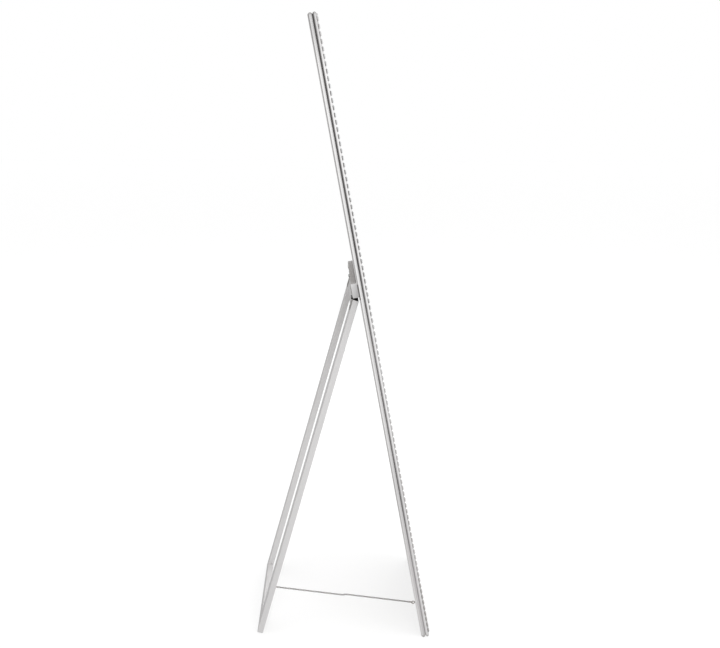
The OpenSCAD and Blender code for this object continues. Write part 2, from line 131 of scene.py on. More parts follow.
def outward(rings, closed):
    """Reverses every ring where the volume is negative. The volume is the sum, over all triangles, of
    a . (b x c) / 6, and only its sign counts here, so the 6 is left out. An end cap adds its centre .
    the sum of the cross products of its neighbouring points, with the sign of the side it closes."""
    rows, columns = rings.shape[:2]
    flat = rings.reshape(-1, 3) - rings.reshape(-1, 3).mean(0)
    quads = ring_faces(rows, columns, closed)
    triangles = np.concatenate([quads[:, [0, 1, 2]], quads[:, [0, 2, 3]]])
    a, b, c = (flat[triangles[:, k]] for k in range(3))
    volume = np.einsum("ij,ij->i", a, np.cross(b, c)).sum()
    if not closed:
        for ring, sign in ((flat[:columns], -1), (flat[-columns:], 1)):
            centre = ring.mean(0)
            turned = np.cross(ring - centre, np.roll(ring, -1, 0) - centre).sum(0)
            volume += sign * float(turned @ centre)
    return rings if volume > 0 else rings[:, ::-1]


def mesh_from(name, stacks, closed=False):
    """One mesh from many stacks of rings. A stack is an array of rows, columns and 3, and the faces of
    each stack are numbered on from the points of those before it."""
    points, faces, first = [], [], 0
    for rings in stacks:
        rings = outward(np.asarray(rings, float), closed)
        rows, columns = rings.shape[:2]
        faces += (ring_faces(rows, columns, closed) + first).tolist()
        if not closed:
            faces.append((first + np.arange(columns))[::-1].tolist())
            faces.append((first + (rows - 1) * columns + np.arange(columns)).tolist())
        points.append(rings.reshape(-1, 3))
        first += rows * columns
    mesh = bpy.data.meshes.new(name)
    mesh.from_pydata(np.concatenate(points), [], faces)
    mesh.validate()
    return mesh


print("3 rings of 8 points, closed, have", len(ring_faces(3, 8, True)), "faces")

# %% A piece of the scene
made = []


def piece(name, mesh, body, material, stands_for=(), crease=35):
    """Puts a mesh in the scene, smooth except at edges sharper than crease degrees. Weighted normals
    keep large faces flat to the eye beside their small rounds."""
    mesh.shade_smooth()
    mesh.set_sharp_from_angle(angle=math.radians(crease))
    thing = bpy.data.objects.new(name, mesh)
    bpy.context.scene.collection.objects.link(thing)
    mesh.materials.append(material)
    even = thing.modifiers.new("even_shading", "WEIGHTED_NORMAL")
    even.keep_sharp = True
    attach(thing, body)
    if stands_for:
        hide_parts(*stands_for)
    made.append((name, len(mesh.polygons)))
    return thing


# %% [markdown]
# ## Shader maths that reads like maths
#
# A material can be drawn by hand in the node editor, but a drawing is hard to read back and to repeat.
# The small class below wraps one output socket, so that `0.3 + 0.1 * noise` adds the Math nodes by
# itself, also with the plain number on the left. Anything that isn't arithmetic on numbers comes from
# the one method `node`, which sets a node's own settings first and then its sockets.

# %% Wires
class Wire:
    """An output socket of a node. Arithmetic on it adds Math nodes to the same material."""

    def __init__(self, paint, socket):
        self.paint, self.socket = paint, socket

    def math(self, operation, *values):
        """A Math node with this operation on values, each a Wire or a number."""
        return self.paint.node("ShaderNodeMath", {"operation": operation}, dict(enumerate(values)))

    def __add__(self, other):
        return self.math("ADD", self, other)

    __radd__ = __add__

    def __sub__(self, other):
        return self.math("SUBTRACT", self, other)

    def __rsub__(self, other):
        return self.math("SUBTRACT", other, self)

    def __mul__(self, other):
        return self.math("MULTIPLY", self, other)

    __rmul__ = __mul__

    def __truediv__(self, other):
        return self.math("DIVIDE", self, other)

    def __rtruediv__(self, other):
        return self.math("DIVIDE", other, self)

    def __pow__(self, other):
        return self.math("POWER", self, other)

    def __abs__(self):
        return self.math("ABSOLUTE", self)


# %% Nodes
class Nodes:
    """Adds nodes to a tree and hands their outputs back as wires."""

    def __init__(self, tree):
        self.tree = tree

    def fill(self, inputs, values):
        """Links each Wire to its socket, and sets each plain value on the socket itself."""
        for key, value in values.items():
            if isinstance(value, Wire):
                self.tree.links.new(value.socket, inputs[key])
            else:
                inputs[key].default_value = value

    def node(self, kind, settings=None, values=None, output=0):
        """Adds a node, its settings first, then the values or links of its sockets."""
        new = self.tree.nodes.new(kind)
        for key, value in (settings or {}).items():
            if key == "stops":
                for stop, (place, level) in zip(self.stops_of(new, len(value)), value):
                    stop.position, stop.color = place, (level, level, level, 1)
            else:
                setattr(new, key, value)
        self.fill(new.inputs, values or {})
        return Wire(self, new.outputs[output])

    def other(self, wire, output):
        """Another output of the node that a wire comes from."""
        return Wire(self, wire.socket.node.outputs[output])

    @staticmethod
    def stops_of(ramp, count):
        """The stops of a colour ramp, with as many as are needed."""
        while len(ramp.color_ramp.elements) < count:
            ramp.color_ramp.elements.new(0.5)
        return ramp.color_ramp.elements

    def ramp(self, value, *stops):
        """Straight lines between stops, each a pair of a place from 0 to 1 and the level there."""
        return self.node("ShaderNodeValToRGB", {"stops": stops}, {"Fac": value})

    def mix(self, share, first, second):
        """Colours mixed by a share, which may be a Wire. A Mix node has sockets for each kind of
        value, and those for colours are inputs 6 and 7 and output 2."""
        return self.node("ShaderNodeMix", {"data_type": "RGBA"}, {0: share, 6: first, 7: second}, 2)

    def seen(self):
        """1 for rays from the camera, from a mirror or through glass, and 0 for the light itself."""
        path = self.node("ShaderNodeLightPath", output="Is Camera Ray")
        total = path + self.other(path, "Is Glossy Ray") + self.other(path, "Is Transmission Ray")
        return self.node("ShaderNodeClamp", None, {"Value": total})


# %% Paints
class Paint(Nodes):
    """A material under construction, on one Principled shader with fixed values."""

    def __init__(self, name, **fixed):
        self.material = bpy.data.materials.new(name)
        self.material.use_nodes = True
        super().__init__(self.material.node_tree)
        self.shader = next(n for n in self.tree.nodes if n.type == "BSDF_PRINCIPLED")
        for socket, value in fixed.items():
            self.shader.inputs[socket.replace("_", " ").title().replace("Ior", "IOR")].default_value = value

    def untilted(self):
        """Object coordinates as they are, which are metres in the shared frame."""
        return self.node("ShaderNodeTexCoord", output="Object")

    def place(self, tilt=0.0, stretch=(1, 1, 1)):
        """Object coordinates turned back by a tilt about x, then stretched."""
        turned = self.node("ShaderNodeMapping", None,
                           {"Vector": self.untilted(), "Rotation": (math.radians(-tilt), 0, 0)})
        return self.node("ShaderNodeMapping", None, {"Vector": turned, "Scale": stretch})

    def noise(self, where, scale, detail=3.0, roughness=0.55):
        """Cloudy values from 0 to 1, with about scale clouds to a metre."""
        return self.node("ShaderNodeTexNoise", None,
                         {"Vector": where, "Scale": scale, "Detail": detail, "Roughness": roughness})

    def axis(self, where, k):
        """One coordinate of a place: 0, 1 or 2 for x, y or z."""
        return self.node("ShaderNodeSeparateXYZ", None, {"Vector": where}, k)

    def between(self, value, low, high):
        """1 where a value lies between two limits, and 0 elsewhere."""
        return self.node("ShaderNodeMath", {"operation": "COMPARE"},
                         {0: value, 1: (low + high) / 2, 2: (high - low) / 2})

    def bump(self, height, depth):
        """A normal bent as if the surface rose by depth where the height goes from 0 to 1."""
        return self.node("ShaderNodeBump", None, {"Height": height, "Distance": depth})

    def attribute(self, name):
        """The numbers that the mesh carries under this name."""
        return self.node("ShaderNodeAttribute", {"attribute_name": name}, output="Fac")

    def finish(self, **sockets):
        """Fills the shader's sockets, with _ for a space in their names, and returns the material."""
        self.fill(self.shader.inputs, {k.replace("_", " "): v for k, v in sockets.items()})
        return self.material


def srgb(*levels):
    """The linear colour of levels from 0 to 255, as a picture stores them."""
    c = np.array(levels) / 255
    linear = np.where(c <= 0.04045, c / 12.92, ((c + 0.055) / 1.055) ** 2.4)
    return (*linear.tolist(), 1.0)


print("a middle grey, 128 of 255, is", round(srgb(128)[0], 3), "in linear light")

# %% [markdown]
# ## Silver leaf on the moulding
#
# The moulding is wood under thin silver leaf and lacquer. The leaf is bright on the beads, where hands
# and cloths polish it, and dark in the quirks, where the toning wash stays, with painted shade added in
# the deep quirk and along the rear edge. All this could be painted on a picture and laid round the
# mesh, but such a picture fits one size only. So the mesh carries four attributes, and the material
# reads them. `hollow` says how much wash and painted shade a point keeps. `ledge` marks the strip
# below the tiles, where each tile has a painted shadow. `step` marks a strip of the back bead that is
# painted darker as shade, and `edge` the rear edge, which is painted dark beside the header as the
# contact shadow there.
#
# Fine streaks run along the length, as on leaf that is burnished. Towards the floor the silver is
# painted duller, the wash and shade in its quirks paler and the gaps between the tiles greyer, and the
# very top is painted a little duller too: painted light and shade that change along the height. The
# mitres show as a fine dark line of cement at both ends of the upright lengths.

# %% Places along the frame
TILE_LEN = 11 * MM
PITCH = 16.5 * MM
LONG = stile_hi[2] - stile_lo[2]
HALF = -stile_lo[0]
header_lo, header_hi = loose.box("hinge_header")


def tile_centres(node, axis, length):
    """Places of a CAD row: as many tiles as fit its box at the pitch, about the middle."""
    lo, hi = mirror.box(node)
    count = int(round((hi[axis] - lo[axis] - TILE_LEN) / PITCH)) + 1
    return length / 2 + (np.arange(count) - (count - 1) / 2) * PITCH


def height_share(p):
    """Height along the mirror, 0 at the foot and 1 at the top."""
    along = p.axis(p.place(-LEAN), 2)
    return (along - stile_lo[2]) / LONG


# Levels over the height of the mirror, as pairs of a height share and the level there
# The dulling, the shadow under the tiles and the paling of the quirks are painted light and shade along the
# height; the mitre line is a real joint.
PAINTED_DULLING_STOPS = ((0.27, 1), (0.375, 0.6), (0.5, 0.4), (0.7, 0.2), (0.85, 0), (0.92, 0), (0.97, 0.7))
TILE_SHADOW_STOPS = ((0.08, 1), (0.13, 0.3), (0.45, 0.25), (0.62, 0.8), (0.9, 0.7), (1, 0.3))
PAINTED_FADE_STOPS = ((0.10, 1), (0.14, 0.85), (0.26, 0.42), (0.5, 0.48), (0.65, 0))
MITRE_LINE = ((0.4965, 0), (0.4985, 0.7))


def painted_dulling(p):
    """Share of painted dulling, for the light that changes along the height: 1 over the lowest
    quarter, falling to 0 near the top, and rising again at the very top.
    """
    return p.ramp(height_share(p), *PAINTED_DULLING_STOPS)


def tile_shadow_depth(p):
    """How dark the painted shadow under the tiles is: full at the very foot, and strong in the upper
    half.
    """
    return p.ramp(height_share(p), *TILE_SHADOW_STOPS)


print("mirror", round(LONG, 4), "long and", round(2 * HALF, 4), "wide")

# %% Silver leaf
BURNISHED = srgb(247, 246, 246)
CLOUDED = srgb(240, 239, 239)
# Painted duller leaf, for the light that changes along the height
PAINTED_DULL_LEAF = srgb(206, 205, 205)
# Toning wash in the quirks, with painted shade in the deep quirk and along the rear edge
WASH_AND_SHADE = srgb(133, 131, 130)
# The paler wash and painted shade of the quirks towards the floor
PALE_WASH_AND_SHADE = srgb(213, 211, 211)
# Painted shade: a darker band on the back bead
PAINTED_STEP_SHADE = srgb(178, 176, 176)
# The cement of the mitres, and the painted shadow under each tile
CEMENT_AND_SHADOW = srgb(126, 122, 120)
# Painted grey between the tiles, with the dulling along the height
PAINTED_GAP_GREY = srgb(172, 169, 168)
# Painted contact shadow on the rear edge beside the header
FRAME_CONTACT_SHADOW = srgb(84, 81, 80)
WORN_LEAF = srgb(150, 146, 140)
# How far the painted contact shadow reaches past the header
CONTACT_SHADOW_SPREAD = 1.5 * MM
LEAF_RELIEF = 0.08 * MM


def silver_leaf(name, across):
    """Metal whose colour goes from bright to a grey of toning and painted shade with the hollow
    attribute. Along each row a wave of one tile pitch, (1 - cos) / 2 of the distance from the row's
    middle, is 1 under the tiles and 0 between them, because each row has an even count. It places the
    painted shadow under each tile."""
    p = Paint(name, metallic=0.9, coat_weight=0.25, coat_roughness=0.12)
    where = p.place(-LEAN)
    streaks = p.noise(p.place(-LEAN, (1, 14, 14) if across else (14, 14, 1)), 34, 4)
    cloud = p.noise(where, 9, 3)
    speck = p.noise(where, 420, 2)
    from_middle = p.axis(where, 0) if across else p.axis(where, 2) - (stile_lo[2] + LONG / 2)
    wave = from_middle.math("COSINE", from_middle * (2 * math.pi / PITCH))
    tiles = tile_centres("top_trim", 0, 0) if across else tile_centres("left_trim", 2, 0)
    row_end = tiles.max() + PITCH / 2
    in_row = p.between(from_middle, -row_end, row_end)
    under_tile = p.ramp(0.5 - 0.5 * wave, (0.2, 0), (0.45, 1)) * in_row
    # Toning wash in the quirks, with painted shade in the deep quirk and along the rear edge
    wash_and_shade = p.ramp(p.attribute("hollow") + 0.10 * (cloud - 0.5), (0.0, 0), (1.0, 1))
    # Painted: the wash and shade in the quirks grow paler towards the floor
    painted_fade = p.ramp(height_share(p), *PAINTED_FADE_STOPS)
    # Painted dulling of the bright leaf towards the floor and at the top
    bright = p.mix(painted_dulling(p), p.mix(cloud, CLOUDED, BURNISHED), PAINTED_DULL_LEAF)
    toned = p.mix(wash_and_shade, bright, p.mix(painted_fade, WASH_AND_SHADE, PALE_WASH_AND_SHADE))
    # Painted shade: a darker band on the back bead, deeper towards the floor
    toned = p.mix(0.8 * p.attribute("step") * painted_fade, toned, PAINTED_STEP_SHADE)
    # Painted grey between the tiles, following the dulling
    toned = p.mix(0.6 * p.attribute("ledge") * (1.0 - under_tile) * painted_dulling(p), toned, PAINTED_GAP_GREY)
    # Painted shadow under each tile, its depth set along the height
    toned = p.mix(p.attribute("ledge") * under_tile * tile_shadow_depth(p), toned, CEMENT_AND_SHADOW)
    if not across:
        # Painted contact shadow on the rear edge, where it lies beside the header
        inside = p.between(p.axis(where, 2), header_lo[2] - CONTACT_SHADOW_SPREAD, header_hi[2] + CONTACT_SHADOW_SPREAD)
        toned = p.mix(0.85 * p.attribute("edge") * inside, toned, FRAME_CONTACT_SHADOW)
        toned = p.mix(p.ramp(abs(height_share(p) - 0.5), *MITRE_LINE), toned, CEMENT_AND_SHADOW)
    worn = p.ramp(speck, (0.66, 0), (0.74, 1))
    colour = p.mix(worn * 0.16, toned, WORN_LEAF)
    relief = p.bump(0.7 * streaks + 0.3 * speck, LEAF_RELIEF)
    return p.finish(Base_Color=colour, Roughness=0.2 + 0.16 * streaks + 0.3 * wash_and_shade, Normal=relief)


leaf_along = silver_leaf("silver_leaf_along", False)
leaf_across = silver_leaf("silver_leaf_across", True)
print("silver leaf takes", len(leaf_along.node_tree.nodes), "nodes along and",
      len(leaf_across.node_tree.nodes), "across")

# %% [markdown]
# ## The moulding itself
#
# A frame maker runs one long moulding through a cutter and mitres four lengths of it. A flat profile
# with a curve's bevel would give that too, but its mitres would need care. So we do what the frame
# maker does: one section, walked round once, is placed at both ends of a length and sheared to 45
# degrees there, because a mitred length gets shorter by twice the distance from the outer edge. The
# section has two outer beads with a deep quirk between them, a thin quirk near the back, a flat for
# the tiles, a cove, and a small bead beside the glass.

# %% Section of the moulding
BACK_BEAD = 6.0 * MM
FRONT_BEAD = 4.4 * MM
INNER_BEAD = 3.5 * MM
GROOVE = 4.5 * MM
COVE = 5.3 * MM
REBATE = 8.0 * MM
LIP = 7.4 * MM
TILE_H = 3.2 * MM
TILE_IN = 2.0 * MM
TILE_W = 5.0 * MM
THICK = -mirror.box("left_trim")[0][1]
WIDE = stile_hi[0] - stile_lo[0]
TILE_MARGIN = 1 * MM
# Toning wash and painted shade on the outer side: heights above the back in mm, and the share at
# each. At the rear edge the share is painted shade, and in the deep quirk it is wash and painted shade.
WASH_AND_SHADE_STOPS = ((0, 1.0, 3.0, 4.0, 6.5, 8.2, 10, 11.3, 12.2, 14.2, 15.2, 16.2, 18.6, 19.6, 21),
              (0.3, 0.65, 0.6, 0.0, 0.06, 0.26, 0.42, 0.8, 1.0, 1.0, 0.5, 0.0, 0.0, 0.1, 0.15))
LEDGE_FROM = 19.0 * MM
EDGE_TO = 3.2 * MM
STEP_FROM = 5.4 * MM
STEP_TO = 9.5 * MM
QUIRK_UP = 2.3 * MM
QUIRK_W = 1.5 * MM
QUIRK_D = 0.8 * MM
BEAD_STEPS = 15
COVE_STEPS = 25
FRONT_STEPS = 22
BACK_STEPS = 16
REAR_STEPS = 9
print("moulding", round(WIDE, 4), "wide,", round(THICK, 4), "thick with its tiles")


def arc(centre, radius, start, end, steps):
    """Points centre + radius (cos a, sin a) for a from start to end degrees."""
    a = np.radians(np.linspace(start, end, steps))
    return np.array(centre) + radius * np.stack([np.cos(a), np.sin(a)], -1)


def moulding_section():
    """The section as points (distance from the outer edge, depth from the tiles' face), with the
    share of toning and painted shade at each point, from 0 on the beads to 1 at the bottom of a quirk.
    It is a row of arcs joined by straight lines. The cove is the arc over a chord of 2 half, COVE deep,
    so its radius is (half^2 + COVE^2) / (2 COVE). A bead whose centre lies r from the outer edge meets
    the bottom of the groove where its cosine is GROOVE / r - 1."""
    face, lip = TILE_H, TILE_H + LIP
    cove_from, cove_to = TILE_IN + TILE_W + TILE_MARGIN, WIDE - 2 * INNER_BEAD
    half = (cove_to - cove_from) / 2
    cove_r = (half ** 2 + COVE ** 2) / (2 * COVE)
    turn = math.degrees(math.asin(half / cove_r))
    front_end = math.degrees(math.acos(GROOVE / FRONT_BEAD - 1))
    back_start = 360 - math.degrees(math.acos(GROOVE / BACK_BEAD - 1))
    quirk = 180 - math.degrees(math.asin((BACK_BEAD - QUIRK_UP) / BACK_BEAD))
    half_quirk = math.degrees(QUIRK_W / 2 / BACK_BEAD)
    back = (BACK_BEAD, THICK - BACK_BEAD)
    parts = [
        (np.array([[WIDE - REBATE, THICK], [WIDE - REBATE, lip], [WIDE, lip]]), [0, 0.5, 0.1]),
        (arc((WIDE - INNER_BEAD, face + INNER_BEAD), INNER_BEAD, 360, 205, BEAD_STEPS),
         np.linspace(0, 0.15, BEAD_STEPS)),
        (arc((cove_from + half, face + COVE - cove_r), cove_r, 90 - turn, 90 + turn, COVE_STEPS),
         np.concatenate([[0.9], np.full(COVE_STEPS - 2, 0.03), [0.35]])),
        (arc((FRONT_BEAD, face + FRONT_BEAD), FRONT_BEAD, 270, front_end, FRONT_STEPS), None),
        (arc(back, BACK_BEAD, back_start, quirk + half_quirk, BACK_STEPS), None),
        (arc(back, BACK_BEAD - QUIRK_D, quirk, quirk, 1), [0.95]),
        (arc(back, BACK_BEAD, quirk - half_quirk, 90, REAR_STEPS), None)]
    wash_and_shade_shares = [np.interp((THICK - p[:, 1]) / MM, *WASH_AND_SHADE_STOPS) if w is None else w for p, w in parts]
    return np.concatenate([p for p, _ in parts]), np.concatenate(wash_and_shade_shares)


print("moulding section of", len(moulding_section()[0]), "points")


# %% Four mitred lengths
def mitred(length, section):
    """Two rings of the section. At distance s from the outer edge the length runs from s to
    length - s, which is the 45 degree mitre. Local x is s, y is depth - thickness."""
    s, depth = section.T
    ends = np.stack([s, length - s])
    return np.stack([np.broadcast_to(s, ends.shape), np.broadcast_to(depth - THICK, ends.shape), ends], -1)


section, hollow = moulding_section()
from_back = THICK - section[:, 1]
outer = section[:, 0] < BACK_BEAD
marks = {"hollow": hollow, "ledge": 1.0 * (outer & (from_back > LEDGE_FROM)),
         "edge": 1.0 * (outer & (from_back < EDGE_TO)),
         "step": 1.0 * (outer & (from_back > STEP_FROM) & (from_back < STEP_TO))}


def side_place(side):
    """Maps a length onto the left (side = -1) or right (side = 1) of the mirror. A point s from the
    outer edge goes to x = side (HALF - s), and the length runs up z."""
    return lambda p: mirror.out(np.stack([side * (HALF - p[..., 0]), p[..., 1], p[..., 2]], -1))


def rail_place(end):
    """Maps a length onto the bottom (end = 0) or top (end = 1) of the mirror. A point s from the
    outer edge goes to z = s or z = LONG - s, and the length runs along x from -HALF."""
    up = 1 if end == 0 else -1
    return lambda p: mirror.out(np.stack([p[..., 2] - HALF, p[..., 1], end * LONG + up * p[..., 0]], -1))


sides = {"left_stile": (LONG, side_place(-1)), "right_stile": (LONG, side_place(1)),
         "bottom_rail": (2 * HALF, rail_place(0)), "top_rail": (2 * HALF, rail_place(1))}
for node, (length, put) in sides.items():
    rings = put(mitred(length, section))
    mesh = mesh_from(node + "_moulding", [rings])
    # Where mesh_from had to reverse the rings, the marks are reversed with them
    turned = not np.allclose(outward(rings, False), rings)
    for label, value in marks.items():
        both = np.tile(value[::-1] if turned else value, 2)
        mesh.attributes.new(label, "FLOAT", "POINT").data.foreach_set("value", both.astype(np.float32))
    leaf = leaf_across if node.endswith("rail") else leaf_along
    piece(node + "_moulding", mesh, "mirror", leaf, [node])
    print(node, "mitred, with an outer length of", round(length, 4))

# %% [markdown]
# ## Cut-glass tiles
#
# A row of small glass tiles with silvered backs runs along the front edge. Each has a flat top and
# four sloping facets. An Array modifier on one tile would repeat it, but its gap would have to be typed
# in, and here the pitch and the count come from the CAD row. There are hundreds, so a tile has only a
# few faces: four rings of eight points, at its foot, its shoulder and the two edges of its flat top.

# %% Cut glass
CELLS_TO_A_METRE = 60.0
GLASS_RELIEF = 0.04 * MM
CLEAR_GLASS = srgb(218, 219, 220), srgb(240, 241, 242)
# Painted duller glass, for the light that changes along the height
PAINTED_DULL_GLASS = srgb(204, 201, 200)


def cut_glass():
    """Bright metal under a clear coat. A cell pattern of about one cell to a tile gives each its own
    tone, and the foot of a tile, where hollow is 1, is painted dark as its shadow. Towards the floor
    and at the very top the glass is painted duller, for the light that changes along the height."""
    p = Paint("cut_glass", metallic=0.75, coat_weight=1.0, coat_roughness=0.03)
    where = p.place(-LEAN)
    each = p.node("ShaderNodeTexVoronoi", {"feature": "F1"},
                  {"Vector": where, "Scale": CELLS_TO_A_METRE}, output="Color")
    tone = p.node("ShaderNodeSeparateColor", None, {"Color": each})
    smoke = p.noise(where, 160, 2)
    clear = p.mix(0.55 * tone + 0.25 * smoke, *CLEAR_GLASS)
    # Painted dulling towards the floor and at the top
    dulled_glass = p.mix(painted_dulling(p), clear, PAINTED_DULL_GLASS)
    # Painted shadow at the foot of each tile
    colour = p.mix(p.attribute("hollow") * tile_shadow_depth(p), dulled_glass, CEMENT_AND_SHADOW)
    return p.finish(Base_Color=colour, Roughness=0.06 + 0.08 * smoke,
                    Normal=p.bump(p.noise(where, 700, 1), GLASS_RELIEF))


glass_cut = cut_glass()
print("cut glass takes", len(glass_cut.node_tree.nodes), "nodes")

# %% Tiles
TOP_W = 2.6 * MM
CUT = 0.7 * MM
TILE_EDGE = 1.4 * MM
CROWN_DROP = 0.12 * MM
CROWN_IN = 0.05 * MM
# Share of painted shadow at the foot, the shoulder and the two edges of the top of a tile
TILE_FOOT_SHADOW = (1.0, 0.3, 0.0, 0.0)
TILE_POINTS = 8


def tile_rings(centres):
    """Rings of eight points at four levels, for tiles at the given places along a side. A ring is
    an oblong with its corners cut off, and it narrows from the shoulder to the flat top."""
    facet = (TILE_W - TOP_W) / 2
    inset = np.array([0, 0, facet, facet + CROWN_IN])
    level = np.array([TILE_H, TILE_H - TILE_EDGE, CROWN_DROP, 0])
    a, b = TILE_W / 2 - inset, TILE_LEN / 2 - inset
    # Each corner of the oblong gives two points: its side in x and z, and whether z or x is cut
    corner = np.array([[1, 1, 0, 1], [1, 1, 1, 0], [1, -1, 1, 0], [1, -1, 0, 1],
                       [-1, -1, 0, 1], [-1, -1, 1, 0], [-1, 1, 1, 0], [-1, 1, 0, 1]])
    x = corner[None, :, 0] * (a[:, None] - CUT * corner[None, :, 3])
    z = corner[None, :, 1] * (b[:, None] - CUT * corner[None, :, 2])
    one = np.stack([x + TILE_IN + TILE_W / 2, np.broadcast_to(level[:, None], x.shape) - THICK, z], -1)
    return [one + np.array([0, 0, c]) for c in centres]


rows = {"left_trim": (2, LONG, side_place(-1)), "right_trim": (2, LONG, side_place(1)),
        "bottom_trim": (0, 2 * HALF, rail_place(0)), "top_trim": (0, 2 * HALF, rail_place(1))}
for node, (axis, length, put) in rows.items():
    centres = tile_centres(node, axis, length)
    mesh = mesh_from(node + "_tiles", [put(r) for r in tile_rings(centres)])
    foot_shadow = np.tile(np.repeat(TILE_FOOT_SHADOW, TILE_POINTS), len(centres))
    mesh.attributes.new("hollow", "FLOAT", "POINT").data.foreach_set("value", foot_shadow.astype(np.float32))
    piece(node + "_tiles", mesh, "mirror", glass_cut, [node], crease=12)
    print(node, len(centres), "tiles")

# %% [markdown]
# ## Boards with eased edges
#
# A sawn board never has a knife edge: the joiner eases it with sandpaper, and that small round is what
# catches the light. A cube with a Bevel modifier would do for one board. As a stack of rounded
# rectangles it takes its size from the CAD box, and the pane and its backing can use it too. Near an
# end the rectangle shrinks by r (1 - sin a) while the level moves by r (1 - cos a), for a from 0 to 90
# degrees, so the same round runs along all twelve edges.

# %% Boards
EASE = 1.2 * MM
END_STEPS = 4
CORNER_STEPS = 5
LEAST_ROUND = 0.02


def board(lo, hi, axis, ease=EASE):
    """Rings along axis of a box whose edges are rounded with radius ease. Each ring is four quarter
    circles, centre + radius (cos, sin), whose centres are the corners moved in by their radius. The
    radius never gets quite to 0, so that no ring has two points in one place."""
    a = np.linspace(0, math.pi / 2, END_STEPS)
    inset = np.concatenate([ease * (1 - np.sin(a)), (ease * (1 - np.sin(a)))[::-1]])
    level = np.concatenate([lo[axis] + ease * (1 - np.cos(a)), (hi[axis] - ease * (1 - np.cos(a)))[::-1]])
    u, v = [k for k in range(3) if k != axis]
    quarter = np.linspace(0, math.pi / 2, CORNER_STEPS)
    angle = np.concatenate([quarter + k * math.pi / 2 for k in range(4)])
    sign_u = np.repeat([1, -1, -1, 1], CORNER_STEPS)
    sign_v = np.repeat([1, 1, -1, -1], CORNER_STEPS)
    radius = np.maximum(ease - inset, ease * LEAST_ROUND)[:, None]
    half_u = (hi[u] - lo[u]) / 2 - inset[:, None]
    half_v = (hi[v] - lo[v]) / 2 - inset[:, None]
    rings = np.empty((len(inset), len(angle), 3))
    rings[..., axis] = level[:, None]
    rings[..., u] = (lo[u] + hi[u]) / 2 + sign_u * (half_u - radius) + radius * np.cos(angle)
    rings[..., v] = (lo[v] + hi[v]) / 2 + sign_v * (half_v - radius) + radius * np.sin(angle)
    return rings


print("a board has", 2 * END_STEPS, "rings of", 4 * CORNER_STEPS, "points")

# %% [markdown]
# ## Satin paint on the leg
#
# The leg frame and its header are boards sprayed in a satin silver grey. Spray dries with a soft
# orange peel, and the grain of the board still shows through as long, faint ridges. The rear faces
# are darker. Seen from above, the header has a bare, brown-grey edge, with a dark line of painted
# contact shadow beside the frame, and the faces that meet under it are painted nearly black as the
# shade in the narrow gap between them.
#
# Each of these could have its own faces and its own material. But all of them depend only on where a
# face looks, so one material can find them by the surface's own normal in the board's frame, and they
# stay with the board when it moves.

# %% Where a face looks
# A part of the normal becomes a share: 1 within 14 degrees of that axis, and 0 beyond 37 degrees
FACE_ON = ((0.8, 0), (0.97, 1))


def facing(p, tilt, k):
    """Part k, so 0, 1 or 2 for x, y or z, of the surface's own normal in a frame tilted about x."""
    normal = p.node("ShaderNodeTexCoord", output="Normal")
    turned = p.node("ShaderNodeVectorRotate", {"rotation_type": "X_AXIS"},
                    {"Vector": normal, "Angle": math.radians(-tilt)})
    return p.axis(turned, k)


print("a face that looks along an axis has a share above 0 within",
      round(math.degrees(math.acos(FACE_ON[0][0]))), "degrees")

# %% Satin paint
REAR_PAINT = srgb(146, 144, 144), srgb(160, 158, 158)
# Painted shade: nearly black for the faces in the narrow gap between header and rails
GAP_SHADE_PAINT = srgb(44, 42, 41)
BARE_BOARD = srgb(150, 147, 146), srgb(176, 173, 172)
# Painted contact shadow on the header's top beside the frame
HEADER_CONTACT_SHADOW = srgb(70, 66, 64)
HEADER_END = srgb(188, 187, 187), srgb(228, 227, 227)
CONTACT_SHADOW_LINE = 3.5 * MM
PEEL_RELIEF = 0.12 * MM


def bare_edge(p, tilt, colour, bare):
    """The header's bare upper edge, and its sawn ends, which get paler towards the top. The painted
    contact shadow beside the frame is a ramp over the distance from it, and the pale ends one over the
    height in the header."""
    where = p.place(tilt)
    fibre = p.noise(p.place(tilt, (2, 14, 14)), 60, 4, 0.7)
    # A ramp over metres has steps of 4 mm, which is all that a line of painted contact shadow needs
    contact_shade = p.ramp(p.axis(where, 1) - header_lo[1], (0.0, 1), (CONTACT_SHADOW_LINE, 0))
    colour = p.mix(bare, colour, p.mix(0.7 * contact_shade, p.mix(fibre, *BARE_BOARD), HEADER_CONTACT_SHADOW))
    up_the_end = (p.axis(where, 2) - header_lo[2]) / (header_hi[2] - header_lo[2])
    end_tone = p.mix(p.ramp(up_the_end, (0, 0), (0.9, 0.6), (1, 1)), *HEADER_END)
    return p.mix(p.ramp(abs(facing(p, tilt, 0)), *FACE_ON), colour, end_tone)


